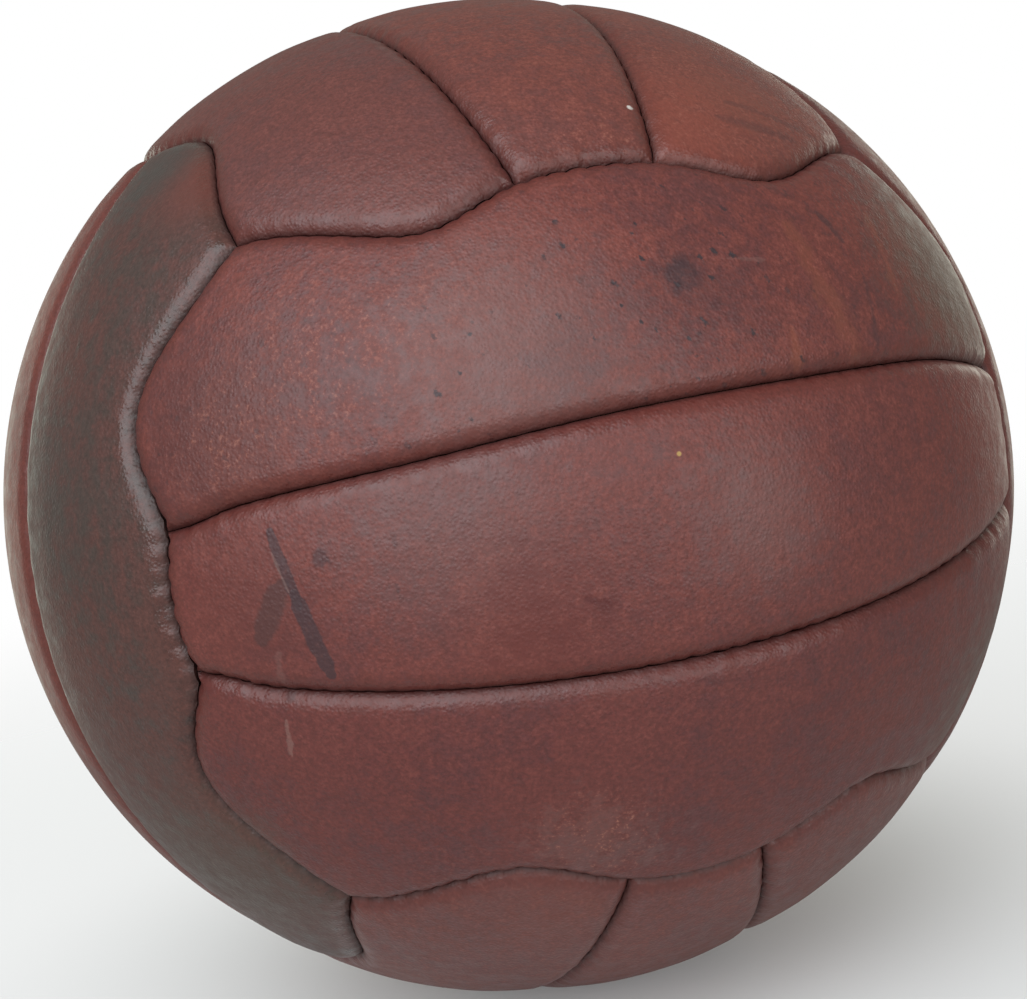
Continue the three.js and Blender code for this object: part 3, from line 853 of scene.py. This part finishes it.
# For a panel's own name, or else its side's name
leathers = {
    "back": leather(
        "kicked leather", **CHESTNUT, clouding=0.6, bloom=0.6, streaks=0.25, shift=83.0,
        specks=0.08, speck_places=((spot(160, -6, 28), 0.5), (spot(-158, 26, 20), 0.4)),
        pore_places=((spot(-165, 18, 30, 0.6), 0.8),),
        marks=(
            (spot(152, 24, 38, 0.9, 0.4), BLOOM_AND_SHEEN, 0.4),
            (spot(-148, -12, 34, 0.9, 0.4), OLIVE, 0.45),
            (spot(168, -30, 9, 0.9, 0.6), SCUFF, 0.35),
            (stroke((-171, 25), (-162, 16), 1.4, 0.7, 1.0), SCUFF, 0.5),
            (stroke((157, 8), (163, 1), 1.0, 0.8, 1.0), SCUFF, 0.45),
        ),
    ),
    "right": leather(
        "handled leather", **CHESTNUT, clouding=0.6, bloom=0.5, streaks=0.2, specks=0.08,
        fibre_turn=(math.pi / 2, 0, 0), speck_places=((spot(84, 22, 24), 0.4),),
        marks=(
            (spot(100, 16, 34, 0.9, 0.4), BLOOM_AND_SHEEN, 0.4),
            (spot(112, -26, 30, 0.9, 0.4), OLIVE, 0.45),
            (stroke((92, -4), (99, -14), 1.3, 0.7, 1.0), SCUFF, 0.5),
        ),
    ),
    "front_upper": leather(
        "leather front upper", **CHESTNUT, clouding=0.8, bloom=0.7, streaks=0.35, shift=31.0,
        specks=0.08, pores=0.3, fibre_turn=(0.1, 0.55, 0),
        speck_places=((spot(-33, 21, 26), 0.6), (spot(-44, 14, 18), 0.5), (spot(-22, 25, 16), 0.3),
                      (spot(22, 20, 26), 0.12)),
        pore_places=((spot(2, 20, 30, 0.6), 1.0), (spot(-20, 17, 18), 0.6)),
        marks=(
            # Painted sheen: a pale purple-grey haze over the panel's lit middle
            (spot(-14, 18, 34, 0.9, 0.3), BLOOM_AND_SHEEN, 0.45),
            # Painted shade: the left of the panel darkened
            (spot(-44, 16, 28, 0.9, 0.3), SHADED, 0.55),
            (spot(46, 18, 36, 0.9, 0.2), OLIVE, 0.8),
            (spot(5, 22, 13, 0.9, 0.5), SCUFF, 0.3),
            (spot(3.8, 23.2, 4.6, 0.8, 0.6), SCUFF, 0.85),
            (spot(-9, 17.5, 9, 0.9, 0.8), SCUFF, 0.2),
            (stroke((19, 26), (21, 12), 3.4, 0.95, 1.3), ORANGE, 0.4),
            (stroke((33, 26), (31, 17), 1.6, 0.95, 1.3), ORANGE, 0.35),
            (stroke((14, 16), (13.5, 12.5), 1.8, 0.95, 1.0), ORANGE, 0.5),
            (stroke((24.5, 27), (26, 23.5), 1.0, 0.6, 0.3), SCUFF, 0.55),
            (stroke((26.5, 20), (24.5, 12.5), 1.1, 0.9, 0.4), SCUFF, 0.45),
            (stroke((8, 24), (14, 23), 0.4, 0.95, 1.6), PALE, 0.12),
        ),
    ),
    "front_centre": leather(
        "leather front centre", **CHESTNUT, clouding=0.5, bloom=0.5, specks=0.08,
        pore_places=((spot(-30, 0, 20), 0.3),),
        marks=(
            # Painted sheen, here and on the next line: pale purple-grey hazes where the light
            # falls brightest
            (spot(-22, 5, 30, 0.9, 0.3), BLOOM_AND_SHEEN, 0.3),
            (spot(6, 0, 20, 0.9, 0.4), BLOOM_AND_SHEEN, 0.35),
            (spot(-42, 0, 20, 0.9, 0.3), HANDLED, 0.4),
            (spot(46, 2, 30, 0.9, 0.2), RICH_RED, 0.35),
            (spot(-16, -5, 19, 0.9, 0.6), DEEP_RED, 0.65),
            (stroke((-38.4, 1.2), (-41.6, -3.4), 2.8, 0.4, 0.3), SMEAR, 0.9),
            (stroke((-38.8, 6.0), (-37.1, -0.8), 1.3, 0.3, 0.35), SCUFF, 0.8),
            (stroke((-37.3, 0.2), (-35.5, -7.4), 1.75, 0.25, 0.3), SCUFF, 0.85),
            # A pale line along the scuff's left edge: a grey scratch, and a painted highlight on
            # its rim
            (stroke((-38.9, 4.2), (-37.8, 0.5), 0.4, 0.9, 0.6), PALE, 0.22),
            (spot(-34.4, 3.2, 1.9, 0.5, 0.4), SCUFF, 0.6),
            (stroke((-11.5, -4), (-8.6, -5.2), 1.4, 0.9, 0.8), OXBLOOD, 0.8),
            (spot(-1, 7, 0.55, 0.5, 0.1), STRAW, 0.8),
            (stroke((-40.2, -5), (-41, -9), 0.7, 0.95, 2.0), PALE, 0.1),
        ),
    ),
    "front_lower": leather(
        "leather front lower", **DEEP_CHESTNUT, clouding=0.45, bloom=0.6, streaks=0.25,
        shift=-17.0, fibre_turn=(0, math.pi / 2, 0), specks=0.06,
        speck_places=((spot(-13, -29, 17), 1.0), (spot(-30, -30, 14), 0.15)),
        marks=(
            (spot(-14, -30, 16, 0.9, 1.1), PALE, 0.11),
            (spot(48, -28, 34, 0.9, 0.2), OLIVE, 0.5),
            (spot(-52, -25, 12, 0.9, 0.2), OLIVE, 0.4),
            (stroke((-42, -15.6), (-41.4, -11.6), 0.5, 0.95, 2.0), PALE, 0.26),
            (spot(-40.6, -9.4, 1.4, 0.6, 0.4), PORE, 0.8),
        ),
    ),
    "left_front": leather(
        "leather left front", **SMOKED, clouding=0.3, bloom=0.9, specks=0.04, roughness=0.48,
        seam_shading=0, crest_gloss=0.2,
        marks=(
            (spot(-52, 44, 17, 0.8, 0.4), SMOKED_RED, 0.6),
            (spot(-66, 47, 18, 0.9, 0.2), SOOT, 0.7),
            (spot(-75, 10, 34, 0.9, 0.2), SOOT, 0.4),
            (spot(-60, -32, 34, 0.9, 0.2), PEAT, 0.65),
        ),
    ),
    "left": leather("reddened leather", **RUSSET, clouding=0.4, bloom=0.5, specks=0.05),
    "top": leather(
        "russet leather", **DEEP_RUSSET, clouding=0.25, bloom=0.6, specks=0.08, roughness=0.48,
    ),
    "top_centre": leather(
        "leather top centre", **RUSSET, clouding=0.5, bloom=0.6, specks=0.15, roughness=0.48,
        speck_places=((spot(2, 38, 16), 0.5),),
        marks=((spot(8.4, 43, 0.8, 0.5, 0.3), CHALK, 0.85),),
    ),
    "top_right": leather(
        "leather top right", **RUSSET, clouding=0.7, bloom=0.3, streaks=0.6, specks=0.3,
        marks=(
            (spot(12, 40, 24, 0.9, 0.8), BRICK, 0.5),
            (spot(26, 42, 14, 0.9, 0.8), CLAY, 0.35),
            (stroke((20, 40), (30, 36), 2.0, 0.9, 0.5), SCUFF, 0.35),
            (stroke((24, 42), (36, 36), 1.6, 0.9, 0.5), SCUFF, 0.3),
        ),
    ),
    # The bottom's darker, less red russet is painted shade, against the light the floor throws
    # back up
    "bottom": leather(
        "leather bottom", **DEEP_RUSSET, clouding=0.6, bloom=0.5, shift=57.0, specks=0.2,
        marks=((spot(-20, -38, 20, 0.9, 0.3), BRIGHT_RUSSET, 0.3),),
    ),
}


def leather_of(name):
    return leathers.get(name) or leathers[name.split("_")[0]]


for name, piece in leather_pieces.items():
    piece.data.materials.clear()
    piece.data.materials.append(leather_of(name))


# ---- The inner pieces' canvas, thread and rubber ----
COTTON, PALE_COTTON, STAINED_COTTON = (0.5, 0.4, 0.26), (0.66, 0.56, 0.4), (0.36, 0.24, 0.14)
WAXED_DARK, WAXED_LIGHT = (0.03, 0.014, 0.01), (0.09, 0.05, 0.035)
RUBBER_DUST = (0.12, 0.1, 0.085)


def woven_canvas():
    made, tree, shader = new_material("cotton canvas", COTTON, 0.9, 0.2)
    place = millimetres(tree)
    yarn = {"Vector": place, "Scale": 0.32, "Distortion": 0.6, "Detail": 1.0}
    across, along, deep = (
        add_node(tree, "TexWave", yarn, bands_direction=way).outputs["Fac"] for way in "XYZ"
    )
    weave = calculate(tree, "ADD", product(tree, across, along), deep)
    color = tint(tree, (*COTTON, 1), (*PALE_COTTON, 1), product(tree, weave, 0.6))
    stains = ramp(tree, noise(tree, place, 20), 0.45, 0.7, 0, 0.4)
    color = tint(tree, color, (*STAINED_COTTON, 1), stains)
    tree.links.new(color, shader.inputs["Base Color"])
    raise_surface(tree, shader, weave, 0.6, 0.1)
    return made


def twisted_thread():
    made, tree, shader = new_material("waxed thread", WAXED_DARK, 0.6, 0.4)
    twist = {"Vector": millimetres(tree, turn=(0.6, 0.5, 0.4)), "Scale": 0.6, "Distortion": 1.0}
    plies = add_node(tree, "TexWave", twist).outputs["Fac"]
    color = tint(tree, (*WAXED_DARK, 1), (*WAXED_LIGHT, 1), plies)
    tree.links.new(color, shader.inputs["Base Color"])
    raise_surface(tree, shader, plies, 0.7, 0.1)
    return made


def rubber(name, color, roughness):
    made, tree, shader = new_material(name, color, roughness, 0.4)
    place = millimetres(tree)
    dust = ramp(tree, noise(tree, place, 7, 4), 0.42, 0.72, 0, 0.35)
    dusty = tint(tree, (*color, 1), (*RUBBER_DUST, 1), dust)
    tree.links.new(dusty, shader.inputs["Base Color"])
    rough = ramp(tree, noise(tree, place, 4), 0.3, 0.7, roughness - 0.1, roughness + 0.15)
    tree.links.new(rough, shader.inputs["Roughness"])
    raise_surface(tree, shader, noise(tree, place, 0.5, 3), 0.4, 0.05)
    return made


canvas, thread = woven_canvas(), twisted_thread()
bladder_rubber = rubber("bladder rubber", (0.014, 0.013, 0.013), 0.6)
valve_rubber = rubber("valve rubber", (0.02, 0.017, 0.016), 0.5)


def paint_node(node, finish):
    for slot in node.material_slots:
        slot.material = finish
    if not node.material_slots:
        node.data.materials.append(finish)


for name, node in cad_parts.items():
    if name.endswith("_lining"):
        paint_node(node, canvas)
    elif name.endswith("_thread"):
        paint_node(node, thread)
    elif name == "bladder":
        paint_node(node, bladder_rubber)
    elif name.startswith("valve"):
        paint_node(node, valve_rubber)


# ---- Camera, light and floor ----
CAMERA_AZIMUTH = -16.73
CAMERA_ELEVATION = 6.32
CAMERA_ROLL = -9.68
CAMERA_DISTANCE = 3.8085 * RADIUS
FIELD_OF_VIEW = math.radians(31.13)
CAMERA_SLIDE = (0.0089 * RADIUS, -0.0091 * RADIUS)
CAMERA_NEAREST = 0.01

# Each lamp's name, azimuth, elevation, size, power, colour and distance
LAMPS = (
    ("key", -40, 34, 2.0, 35, (0.9, 0.95, 1), 1.7),
    ("fill", 20, 6, 1.3, 13, (0.97, 0.99, 1), 2.2),
    ("left side", -166, 0, 0.9, 5, (0.95, 1, 0.85), 1.6),
    ("right side", 132, 4, 0.9, 5, (1, 0.96, 0.82), 1.6),
)
ROOM_LIGHT = (0.94, 1, 0.9)
ROOM_STRENGTH = 0.3

FLOOR_RADIUS = 2
FLOOR_SIDES = 96
FLOOR_GAP = 0.2 * MM


def add_camera():
    azimuth, roll = math.radians(CAMERA_AZIMUTH), math.radians(CAMERA_ROLL)
    back = Vector(on_ball(CAMERA_AZIMUTH, CAMERA_ELEVATION))
    right = Vector((math.cos(azimuth), math.sin(azimuth), 0))
    up = back.cross(right)
    axes = Matrix((right, up, back)).transposed() @ Matrix.Rotation(roll, 3, "Z")
    place = back * CAMERA_DISTANCE + axes @ Vector((*CAMERA_SLIDE, 0))
    bpy.ops.object.camera_add(location=place, rotation=axes.to_euler())
    camera = bpy.context.object
    camera.data.angle = FIELD_OF_VIEW
    camera.data.clip_start = CAMERA_NEAREST
    bpy.context.scene.camera = camera


def add_softbox(name, azimuth, elevation, size, power, color, distance):
    """A square area lamp that looks at the ball."""
    back = Vector(on_ball(azimuth, elevation))
    bpy.ops.object.light_add(
        type="AREA", location=back * distance, rotation=back.to_track_quat("Z", "Y").to_euler()
    )
    lamp = bpy.context.object
    lamp.name = name
    lamp.data.size = size
    lamp.data.energy = power
    lamp.data.color = color


def add_studio():
    """Faint light from all round, a white backdrop, and the lamps."""
    world = bpy.data.worlds.new("studio")
    world.use_nodes = True
    nodes, links = world.node_tree.nodes, world.node_tree.links
    background = nodes["Background"]
    background.inputs["Color"].default_value = (*ROOM_LIGHT, 1)
    background.inputs["Strength"].default_value = ROOM_STRENGTH
    seen = nodes.new("ShaderNodeBackground")
    seen.inputs["Color"].default_value = (1, 1, 1, 1)
    path, mix = nodes.new("ShaderNodeLightPath"), nodes.new("ShaderNodeMixShader")
    links.new(path.outputs["Is Camera Ray"], mix.inputs["Fac"])
    links.new(background.outputs["Background"], mix.inputs[1])
    links.new(seen.outputs["Background"], mix.inputs[2])
    links.new(mix.outputs["Shader"], nodes["World Output"].inputs["Surface"])
    bpy.context.scene.world = world
    for lamp in LAMPS:
        add_softbox(*lamp)


def add_floor():
    """A pale floor that fades out away from the ball, darkest where the ball stands."""
    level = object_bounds()[0][2] - FLOOR_GAP
    bpy.ops.mesh.primitive_circle_add(
        vertices=FLOOR_SIDES, radius=FLOOR_RADIUS, fill_type="NGON", location=(0, 0, level)
    )
    floor = bpy.context.object
    floor.name = "floor"
    pale, tree, shader = new_material("pale floor", (0.9, 0.9, 0.9), 0.9, 0)
    place = add_node(tree, "TexCoord").outputs["Object"]
    outwards = vector_math(tree, "LENGTH", place, output="Value")
    under_ball = ramp(tree, outwards, 0.04, 0.2, 1, 0.45)
    fading = ramp(tree, outwards, 0.15, 0.9, 0.9, 0)
    tree.links.new(product(tree, under_ball, fading), shader.inputs["Alpha"])
    floor.data.materials.append(pale)


add_camera()
add_studio()
add_floor()
bpy.context.scene.view_settings.view_transform = "Standard"
